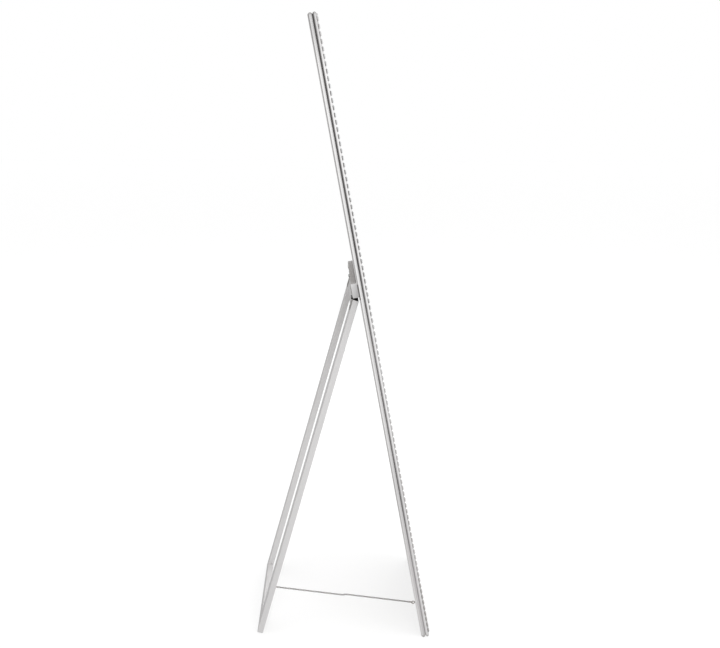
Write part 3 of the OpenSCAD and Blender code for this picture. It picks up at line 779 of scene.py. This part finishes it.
def satin_paint(name, tilt, stretch, tone, gap_shade_side=0, header=False):
    """Grey paint of a tone from 0 to 255, clouded by noise stretched along the grain, and darker on
    the rear faces of the leg. The faces towards +z or -z, by the sign of gap_shade_side, are painted
    nearly black as the shade in the gap between header and rails, and the header has a bare upper
    edge besides."""
    p = Paint(name, coat_weight=0.12, coat_roughness=0.35, specular_ior_level=0.5)
    grain = p.noise(p.place(tilt, stretch), 22, 5, 0.6)
    cloud = p.noise(p.place(tilt), 5, 3)
    peel = p.noise(p.place(tilt), 650, 2)
    painted = srgb(tone, tone - 1, tone - 1), srgb(tone + 13, tone + 11, tone + 11)
    colour = p.mix(0.7 * cloud + 0.3 * grain, *painted)
    if not header:
        colour = p.mix(p.ramp(facing(p, tilt, 1), *FACE_ON), colour, p.mix(grain, *REAR_PAINT))
    rough = 0.36 + 0.10 * grain
    if gap_shade_side:
        # Painted shade on the faces that meet in the gap between header and rails
        dark = p.ramp(facing(p, tilt, 2) * gap_shade_side, *FACE_ON)
        colour = p.mix(dark, colour, GAP_SHADE_PAINT)
        rough = rough + 0.3 * dark
    if header:
        bare = p.ramp(facing(p, tilt, 2), *FACE_ON)
        colour = bare_edge(p, tilt, colour, bare)
        rough = rough + 0.35 * bare
    relief = p.bump(0.75 * grain + 0.25 * peel, PEEL_RELIEF)
    return p.finish(Base_Color=colour, Roughness=rough, Normal=relief)


# %% The boards of the leg and the header
# Noise is stretched where its coordinates are scaled least, which is along the board
along_rail, along_bar = (9, 9, 0.6), (0.6, 9, 9)
paint_bar = satin_paint("satin_paint_bar", SLANT, along_bar, 198)
paint_header = satin_paint("satin_paint_header", -LEAN, along_bar, 201, gap_shade_side=-1, header=True)
# The left rail, nearer the key lamp, is painted darker, and the right one, in its shade, lighter: painted
# shade and light on one paint.
paint_of = {"left_leg_rail": satin_paint("satin_paint_left_painted_shade", SLANT, along_rail, 193, gap_shade_side=1),
            "right_leg_rail": satin_paint("satin_paint_right_painted_light", SLANT, along_rail, 208, gap_shade_side=1),
            "leg_top_crossbar": paint_bar, "leg_bottom_crossbar": paint_bar}

for node, paint in paint_of.items():
    rings = board(*leg.box(node), axis=2 if node.endswith("rail") else 0)
    mesh = mesh_from(node + "_board", [leg.out(rings)])
    piece(node + "_board", mesh, "leg", paint, [node])
    print(node, "of", (np.ptp(leg.box(node), axis=0) / MM).round(1), "mm")
header = mesh_from("header_board", [mirror.out(board(*mirror.box("hinge_header"), axis=0))])
piece("header_board", header, "mirror", paint_header, ["hinge_header"])

# %% [markdown]
# ## The mirror glass and its board
#
# The pane is float glass silvered on its back. Real glass with a metal sheet behind it would send each
# ray through two more surfaces and look much the same, so the pane is one very smooth metal with a
# clear coat and a trace of green. The board behind it is hardboard with a pale grey film. The film
# shows the print of the wire screen that the board was pressed on, so its bump is a fine weave.

# %% Pane and board
PANE_EASE = 0.6 * MM
BACKING_EASE = 0.4 * MM
SCREEN_PITCH = 1.5 * MM
SCREEN_RELIEF = 0.2 * MM


def silvered_glass():
    """Nearly white metal, slightly uneven in tone, and a little rougher where noise passes a half,
    which gives the smears that a cloth leaves."""
    p = Paint("silvered_glass", metallic=1.0, coat_weight=1.0, coat_roughness=0.01)
    where = p.place(-LEAN)
    haze = p.noise(where, 6, 2)
    colour = p.mix(haze, srgb(238, 242, 242), srgb(243, 246, 246))
    smear = p.ramp(p.noise(where, 14, 4), (0.5, 0), (0.8, 1))
    return p.finish(Base_Color=colour, Roughness=0.012 + 0.012 * smear)


def filmed_board():
    """Grey film with stains and short fibres. The weave is the product of two sine waves, one across
    and one up, each with the pitch of the screen."""
    p = Paint("filmed_board", specular_ior_level=0.3)
    where = p.place(-LEAN)
    across, up = (p.axis(where, k) * (2 * math.pi / SCREEN_PITCH) for k in (0, 2))
    screen = across.math("SINE", across) * up.math("SINE", up)
    fibres = p.noise(where, 240, 5, 0.7)
    stain = p.noise(where, 7, 4)
    colour = p.mix(0.5 * fibres + 0.5 * stain, srgb(172, 168, 163), srgb(200, 196, 191))
    return p.finish(Base_Color=colour, Roughness=0.62 + 0.2 * fibres,
                    Normal=p.bump(0.4 * screen + 0.6 * fibres, SCREEN_RELIEF))


pane = board(*mirror.box("mirror_glass"), axis=2, ease=PANE_EASE)
piece("mirror_pane", mesh_from("mirror_pane", [mirror.out(pane)]), "mirror",
      silvered_glass(), ["mirror_glass"])
backing = board(*mirror.box("backing_board"), axis=2, ease=BACKING_EASE)
piece("back_board", mesh_from("back_board", [mirror.out(backing)]), "mirror",
      filmed_board(), ["backing_board"])
print("pane", round(np.ptp(pane[..., 1]) / MM, 2), "mm and backing",
      round(np.ptp(backing[..., 1]) / MM, 2), "mm thick")

# %% [markdown]
# ## Steel
#
# The steel parts show four finishes: bright zinc on most screws, the plates and the points; darker
# rolled steel on the hinges, painted nearly black about the pin as the shade in the gap between the
# knuckles; blackened steel on the screws of the hinges; and plated chain wire that has gone brown where
# it rubs, most of all at its two ends. Four materials drawn apart would say the same thing four times.
# One function makes them all from a light tone, a dark tone and a roughness, and the darker share, a
# brown stain on the chain and painted shade about the hinge pin, is worked out by each finish from its
# own place. Pieces whose CAD shape is good enough keep it and only get a finish.

# %% Steel finishes
PIN_SHADE_SPAN = 10 * MM
STEEL_RELIEF = 0.03 * MM


def shade_about_pin(p):
    """Share of painted shade, for the gap between the knuckles: 1 about the hinge pin, falling to 0
    from 2.6 to 4 mm off its axis. The distance is the root of y^2 + z^2, both counted from the pin. A
    ramp is stored in 256 steps from 0 to 1, too coarse for metres, so the distance is first made a
    share of PIN_SHADE_SPAN."""
    off = sum((p.axis(p.untilted(), k) - float(leg.origin[k])) ** 2 for k in (1, 2)) ** 0.5
    return p.ramp(off / PIN_SHADE_SPAN, (0.26, 1), (0.40, 0))


def rubbed(p):
    """Brown spots all along the chain, and a full stain at both of its ends. The share along it is 0
    at the eye and 1 at the screw, so its ends are where it lies far from a half."""
    share = (p.axis(p.untilted(), 1) - eye_at[1]) / (screw_at[1] - eye_at[1])
    spots = p.ramp(p.noise(p.place(RISE), 130, 5, 0.7), (0.5, 0), (0.72, 1))
    ends = p.ramp(abs(share - 0.5), (0.44, 0), (0.48, 1))
    return p.ramp(0.3 * spots + 0.8 * ends, (0.0, 0), (0.9, 0.9))


def steel(name, light, dark, rough, tilt, dirt_and_shade=None, dirt_and_shade_tone=None):
    """Metal between two tones, clouded, with fine scratches, and a darker tone over a share of it: a
    brown stain on the chain, and painted shade about the hinge pin.
    """
    p = Paint(name, metallic=1.0)
    cloud = p.noise(p.place(tilt), 90, 4)
    scratch = p.noise(p.place(tilt, (1, 9, 30)), 260, 3)
    colour = p.mix(cloud, dark, light)
    if dirt_and_shade:
        colour = p.mix(dirt_and_shade(p), colour, dirt_and_shade_tone)
    return p.finish(Base_Color=colour, Roughness=rough + 0.2 * scratch,
                    Normal=p.bump(scratch, STEEL_RELIEF))


# Painted shade about the hinge pin, for the gap between its knuckles; the chain's brown stain is real
PIN_SHADE, STAIN = srgb(38, 36, 35), srgb(104, 84, 70)
zinc = steel("zinc_steel", srgb(206, 206, 204), srgb(168, 168, 168), 0.22, -LEAN)
rolled = steel("hinge_steel", srgb(150, 147, 144), srgb(112, 109, 106), 0.34, -LEAN, shade_about_pin, PIN_SHADE)
black_screw = steel("black_screw_steel", srgb(88, 85, 83), srgb(58, 56, 54), 0.3, -LEAN)
plated = steel("chain_steel", srgb(152, 147, 145), srgb(86, 80, 77), 0.28, RISE, rubbed, STAIN)

# %% The beech of the dowels, and finishes on CAD shapes
RINGS_SCALE = 90.0


def beech():
    """Pale wood: rings about x, the dowel's length, drawn crooked by a distortion, and short flecks
    that are stretched along x."""
    p = Paint("beech", specular_ior_level=0.4)
    rings_of = p.node("ShaderNodeTexWave", {"wave_type": "RINGS", "rings_direction": "X"},
                      {"Vector": p.place(SLANT), "Scale": RINGS_SCALE, "Distortion": 3.0})
    fleck = p.noise(p.place(SLANT, (1, 12, 12)), 300, 3)
    colour = p.mix(0.5 * fleck + 0.3 * p.node("ShaderNodeSeparateColor", None, {"Color": rings_of}),
                   srgb(196, 160, 116), srgb(222, 192, 150))
    return p.finish(Base_Color=colour, Roughness=0.5 + 0.2 * fleck)


finish_of = {"board_points": zinc, "chain_screw": zinc, "chain_eye": plated, "chain_washer": plated,
             "left_fixed_leaf": rolled, "right_fixed_leaf": rolled, "left_moving_leaf": rolled,
             "right_moving_leaf": rolled, "hinge_pins": rolled, "leg_dowels": beech()}
for node, material in finish_of.items():
    mesh = frame["nodes"][node].data
    mesh.materials.clear()
    mesh.materials.append(material)
    print(node, "keeps its CAD shape in", material.name)

# %% [markdown]
# ## Corner plates
#
# A flat steel angle, punched from sheet, holds each mitre from behind. Two boxes across each other
# would leave a seam, so it is one outline, an L, repeated at four levels. The small round along its
# upper edge catches the light. The plate is let into the wood and stands above it by about the
# thickness of a sheet of paper, so that the two faces never lie in one plane.

# %% Plates
PLATE_LEG = 44 * MM
PLATE_W = 14 * MM
PLATE_UP = 0.15 * MM
PLATE_ROUND = 0.3 * MM
MID_ROUND = 0.3  # about 1 - cos 45 degrees: how far the middle of a round lies from its two sides


def angle_plate(corner, inward, low, high):
    """Rings of an L from its lower to its upper face. Its points lie 0, PLATE_W or PLATE_LEG from its
    outer corner, along both arms, and inward says which way the arms go. The last three levels are a
    quarter round: each point moves into the L by 0, MID_ROUND and 1 radius, while the level rises."""
    outline = np.array([[0, 0], [PLATE_LEG, 0], [PLATE_LEG, PLATE_W], [PLATE_W, PLATE_W],
                        [PLATE_W, PLATE_LEG], [0, PLATE_LEG]])
    move = np.array([[1, 1], [-1, 1], [-1, -1], [-1, -1], [-1, -1], [1, -1]])
    shrink = PLATE_ROUND * np.array([0, 0, MID_ROUND, 1])
    level = high - PLATE_ROUND * np.array([0, 1, MID_ROUND, 0])
    level[0] = low
    flat = corner + inward * (outline + shrink[:, None, None] * move)
    up = np.broadcast_to(level[:, None], flat.shape[:2])
    return np.stack([flat[..., 0], up, flat[..., 1]], -1)


plate_lo, plate_hi = mirror.box("corner_plates")
plates = []
for inward in np.array([[1, 1], [-1, 1], [1, -1], [-1, -1]]):
    corner = np.where(inward > 0, plate_lo[[0, 2]], plate_hi[[0, 2]])
    plates.append(mirror.out(angle_plate(corner, inward, plate_lo[1], plate_hi[1] + PLATE_UP)))
piece("corner_angles", mesh_from("corner_angles", plates), "mirror", zinc, ["corner_plates"])
print("corner plates", len(plates))

# %% [markdown]
# ## Screw heads
#
# The screws are countersunk with a slightly domed head and a cross recess. A Boolean could cut the
# cross, but it leaves long, thin faces that shade badly. A head is a lathe shape anyway: rings of
# growing radius whose height is a dome, and the cross is sunk where a point lies near one of two
# lines. It stops before the rim, as the driver's tip is shorter than the head is wide.

# %% A screw
# The cross as shares of the head's radius: half the width of an arm, its length, and its depth
CROSS_HALF = 0.13
CROSS_REACH = 0.62
CROSS_DEEP = 0.35
DOME_RINGS = 12
SCREW_SIDES = 32


def screw_stack(at, out_of, across, head, shank, deep, dome):
    """Rings from the buried tip to the middle of the head. The first four are the point, the two ends
    of the shank and the rim. The dome's height at radius r is dome (1 - (r / head)^2), and the cross
    is sunk where |u| or |v| is under CROSS_HALF head and r is under CROSS_REACH head."""
    other = np.cross(out_of, across)
    r = np.concatenate([[0.05 * shank, shank, shank, head], head * np.linspace(0.97, 0.06, DOME_RINGS)])
    base = np.concatenate([[-deep, -deep * 0.9, -(head - shank), 0], np.zeros(DOME_RINGS)])
    a = np.linspace(0, 2 * math.pi, SCREW_SIDES, endpoint=False)
    u, v = r[:, None] * np.cos(a), r[:, None] * np.sin(a)
    height = np.broadcast_to(base[:, None], u.shape).copy()
    top = np.arange(len(r)) >= len(r) - DOME_RINGS
    height[top] += dome * (1 - (r[top, None] / head) ** 2)
    near_arm = np.minimum(abs(u), abs(v)) < CROSS_HALF * head
    in_cross = near_arm & (r[:, None] < CROSS_REACH * head) & top[:, None]
    height[in_cross] -= CROSS_DEEP * head
    return at + u[..., None] * across + v[..., None] * other + height[..., None] * out_of


print("a screw has", 4 + DOME_RINGS, "rings of", SCREW_SIDES, "points")


# %% Where the screws are
def bands(values, gap=1 * MM):
    """Numbers the groups of values that lie more than a gap apart. In order of size, the number goes
    up by one wherever the step to the next value is larger than the gap."""
    order = np.argsort(values)
    label = np.empty(len(values), int)
    label[order] = np.concatenate([[0], np.cumsum(np.diff(values[order]) > gap)])
    return label


FACE_DEEP = 0.05 * MM


def screw_places(node, tilt):
    """The middle of each screw's head. The heads stand in clear columns and rows, so the vertices of
    their faces are sorted into bands across and along, and each pair of bands in use is one head."""
    local = tilt.points(node)
    face = local[local[:, 1] > local[:, 1].max() - FACE_DEEP]
    cell = bands(face[:, 0]) * len(face) + bands(face[:, 2])
    heads, head_of = np.unique(cell, return_inverse=True)
    lo, hi = np.full((len(heads), 3), np.inf), np.full((len(heads), 3), -np.inf)
    np.minimum.at(lo, head_of, face)
    np.maximum.at(hi, head_of, face)
    return (lo + hi) / 2


def screws(node, tilt, body, finish, head, shank, deep, dome):
    """Lathed screws in place of a CAD node: head and shank radius, depth and dome in mm."""
    out_of, across = tilt.turn @ np.array([0, 1.0, 0]), np.array([1.0, 0, 0])
    spots = screw_places(node, tilt)
    head, shank, deep, dome = (size * MM for size in (head, shank, deep, dome))
    stacks = [screw_stack(tilt.out(s), out_of, across, head, shank, deep, dome) for s in spots]
    piece(node + "_heads", mesh_from(node + "_heads", stacks), body, finish, [node])
    print(node, len(spots), "screws")


screws("corner_screws", mirror, "mirror", zinc, 2.3, 1.2, 11, 0.4)
screws("header_screws", mirror, "mirror", zinc, 3.6, 1.8, 28, 0.6)
screws("fixed_leaf_screws", mirror, "mirror", black_screw, 2.4, 1.3, 11, 0.6)
screws("moving_leaf_screws", leg, "leg", black_screw, 2.4, 1.3, 11, 0.6)

# %% [markdown]
# ## The chain
#
# The safety chain is wire bent into small ovals, each turned a quarter against the next. A curve with
# a round bevel gives such a link as well, but here the rings of the other pieces do it: an oval is two
# half circles and two straights, and its wire is a circle carried along that closed path. The two
# halves of the chain swing on different bodies, the front one about the eye and the rear one about
# the screw on the leg, so they are two pieces.

# %% Links
WIRE = 1.3 * MM
LINK_IN_W = 1.9 * MM
LINK_GAP = 0.15 * MM
LINK_STEP = 7 * MM
RING_STEPS = 40
BOW_STEPS = 7
WIRE_SIDES = 10


def oval(length, width):
    """Centre line of an oval link. One end is a half circle, r (cos a, sin a), moved up by half the
    straight part, and the other end is its opposite, so that the straights close by themselves."""
    r, half = width / 2, (length - width) / 2
    a = np.linspace(0, math.pi, BOW_STEPS)
    top = np.stack([r * np.cos(a), half + r * np.sin(a)], -1)
    return np.concatenate([top, -top])


def tube(path, radius):
    """A circle carried along a closed flat path: p + radius (cos b n + sin b w), with n the path's
    own normal in its plane and w across that plane."""
    ahead = np.roll(path, -1, 0) - np.roll(path, 1, 0)
    normal = np.stack([ahead[:, 1], -ahead[:, 0]], -1) / np.linalg.norm(ahead, axis=1)[:, None]
    b = np.linspace(0, 2 * math.pi, WIRE_SIDES, endpoint=False)
    flat = path[:, None, :] + radius * np.cos(b)[None, :, None] * normal[:, None, :]
    off_plane = np.broadcast_to(radius * np.sin(b)[None, :, None], (*flat.shape[:2], 1))
    return np.concatenate([flat, off_plane], -1)


def link_row(node):
    """The links of a half chain. Their count is what fits the node's box at LINK_STEP, the pitch is
    the exact share of the box, and each second link has x and z exchanged, a quarter turn."""
    lo, hi = chain.box(node)
    middle_x = (lo[0] + hi[0]) / 2
    count = round((hi[1] - lo[1] - 2 * WIRE) / LINK_STEP)
    pitch = (hi[1] - lo[1] - 2 * WIRE - LINK_GAP) / count
    link = tube(oval(pitch + LINK_GAP + WIRE, LINK_IN_W + WIRE), WIRE / 2)
    start = lo[1] + WIRE + (pitch + LINK_GAP) / 2
    turns = [link, link[..., [2, 1, 0]]]
    print(node, count, "links,", round(pitch / MM, 3), "mm apart")
    return [chain.out(turns[k % 2] + np.array([middle_x, start + k * pitch, 0])) for k in range(count)]


for node in ("front_chain", "rear_chain"):
    links = mesh_from(node + "_links", link_row(node), closed=True)
    piece(node + "_links", links, node, plated, [node])

# %% The ring at the leg's end
ring_lo, ring_hi = chain.box("chain_end_ring")
circle = arc((0, 0), (ring_hi[1] - ring_lo[1] - WIRE) / 2, 0, 360, RING_STEPS + 1)[:-1]
ring = tube(circle, WIRE / 2)[..., [2, 0, 1]] + (ring_lo + ring_hi) / 2
piece("chain_ring", mesh_from("chain_ring", [chain.out(ring)], closed=True), "rear_chain",
      plated, ["chain_end_ring"])
print("end ring", round((ring_hi[1] - ring_lo[1]) / MM, 2), "mm across")

# %% [markdown]
# ## Floor and world
#
# The photo is a cut-out on white. A transparent background would give that, but it loses the shadow,
# and a mirror needs something to reflect. So the world is white to the camera, to mirrors and to
# glass, and lights the object at a calmer level. The floor glows a little for the camera, so that it
# meets the white without a line, and still takes the object's soft shadow.

# %% Floor and world
LAMPS_REACH = 6.0
FAR_GLOW = 0.785
NEAR_GLOW = 0.67
SOFT_GLOW = 0.35
FLOOR_SIZE = 60
WORLD_LEVEL = 0.6


def grey(level):
    """A colour with the same linear level in red, green and blue."""
    return (level, level, level, 1)


def white_world(level):
    """White to the eye and to mirrors, and a plain grey light of this level on the object."""
    world = bpy.data.worlds.new("studio")
    bpy.context.scene.world = world
    world.use_nodes = True
    sky = Nodes(world.node_tree)
    colour = sky.mix(sky.seen(), grey(level), grey(1))
    sky.fill(sky.tree.nodes["Background"].inputs, {"Color": colour, "Strength": 1.0})


def pale_floor(size):
    """A flat square, grey with a glow that fills it up to white. The lamps light its middle, so the
    glow is weaker there, by a share that falls from 1 at the object to 0 at LAMPS_REACH. What lights
    the object is the soft glow."""
    p = Paint("pale_floor", roughness=0.9, specular_ior_level=0.1, emission_strength=1.0)
    reach = sum(p.axis(p.untilted(), k) ** 2 for k in (0, 1)) ** 0.5 / LAMPS_REACH
    lit = p.ramp(reach, (0.0, 1), (0.35, 0.75), (0.7, 0.25), (1.0, 0))
    glow = p.mix(lit, grey(FAR_GLOW), grey(NEAR_GLOW))
    p.finish(Base_Color=srgb(150, 150, 150), Emission_Color=p.mix(p.seen(), grey(SOFT_GLOW), glow))
    mesh = bpy.data.meshes.new("floor")
    h = size / 2
    mesh.from_pydata([(-h, -h, 0), (h, -h, 0), (h, h, 0), (-h, h, 0)], [], [(0, 1, 2, 3)])
    mesh.materials.append(p.material)
    floor = bpy.data.objects.new("floor", mesh)
    bpy.context.scene.collection.objects.link(floor)


white_world(WORLD_LEVEL)
pale_floor(FLOOR_SIZE)
print("floor", FLOOR_SIZE, "m wide, world at a level of", WORLD_LEVEL)

# %% [markdown]
# ## Lamps
#
# A product is lit by large, soft lamps, because a small one gives hard shadows and white spots on
# metal. Area lamps do that. The brightest hangs overhead, and one stands on each side and one in
# front, so that the near and the far faces of the leg get about the same light. Their own squares
# don't show in the mirror or in the silver.

# %% Lamps
def aim_of(aim):
    """Turns for a lamp that shines along its own -z. Turned about x by a quarter plus the slope of
    aim, it shines at that slope along y, and the turn about z points it the right way round."""
    flat = math.hypot(aim[0], aim[1])
    return (math.pi / 2 + math.atan2(aim[2], flat), 0, math.atan2(aim[1], aim[0]) - math.pi / 2)


def lamp(name, place, target, size, watts):
    """A square area lamp at a place, turned to a target."""
    light = bpy.data.lights.new(name, "AREA")
    light.size, light.energy = size, watts
    thing = bpy.data.objects.new(name, light)
    bpy.context.scene.collection.objects.link(thing)
    thing.location = place
    thing.rotation_euler = aim_of(np.array(target, float) - np.array(place, float))
    thing.visible_glossy = False
    print("lamp", name, "of", size, "m and", watts, "W")


lamp("key", (-3.2, -0.4, 2.0), (0, 0, 0.7), 2.4, 50)
lamp("front_fill", (-1.4, -2.6, 2.2), (0, 0, 0.8), 2.2, 30)
lamp("far_fill", (2.8, -0.5, 2.2), (0, 0, 0.8), 2.4, 36)
lamp("overhead", (0, 0, 4.5), (0, 0.001, 0), 3.2, 85)

# %% [markdown]
# ## Camera
#
# The mirror is seen exactly from its side, from a little above. A camera can be moved by hand until
# the picture looks right, but a thin object shows every pixel. So the place, the three turns and the
# focal length were fitted to the straight edges in the photo, which is 720 by 648 pixels.

# %% Camera
# The focal length is in pixels of the photo, the turns in degrees, and the place in metres
PHOTO_W = 720
SENSOR_MM = 36.0
FAR_CLIP = 200
FOCAL_PX = 873.2
PITCH_DOWN = 12.922
YAW = 1.8635
ROLL = -0.109
CAMERA_AT = (-2.2862, 0.0254, 1.3308)


def camera_axes():
    """The camera's x, y and z axes. Forward comes from yaw and pitch, right is forward x up, down is
    forward x right, and the roll turns right and down about forward. The camera looks along -z."""
    p, y, r = (math.radians(v) for v in (PITCH_DOWN, YAW, ROLL))
    forward = np.array([math.cos(y) * math.cos(p), -math.sin(y) * math.cos(p), -math.sin(p)])
    right = np.cross(forward, [0, 0, 1])
    right /= np.linalg.norm(right)
    down = np.cross(forward, right)
    return math.cos(r) * right + math.sin(r) * down, math.sin(r) * right - math.cos(r) * down, -forward


lens = bpy.data.cameras.new("camera")
lens.sensor_width = SENSOR_MM
lens.lens = FOCAL_PX * SENSOR_MM / PHOTO_W
lens.clip_end = FAR_CLIP
camera = bpy.data.objects.new("camera", lens)
bpy.context.scene.collection.objects.link(camera)
stand = np.eye(4)
stand[:3, :3] = np.stack(camera_axes(), -1)
stand[:3, 3] = CAMERA_AT
# Plain lists are read column by column, so the matrix goes in transposed
camera.matrix_world = [list(column) for column in stand.T]
bpy.context.scene.camera = camera
bpy.context.scene.view_settings.view_transform = "Standard"
print("lens of", round(lens.lens, 2), "mm at", CAMERA_AT)

# %% [markdown]
# ## Faces
#
# The faces of all the new pieces are counted.

# %% Count the faces
print(sum(n for _, n in made), "faces in", len(made), "new pieces")
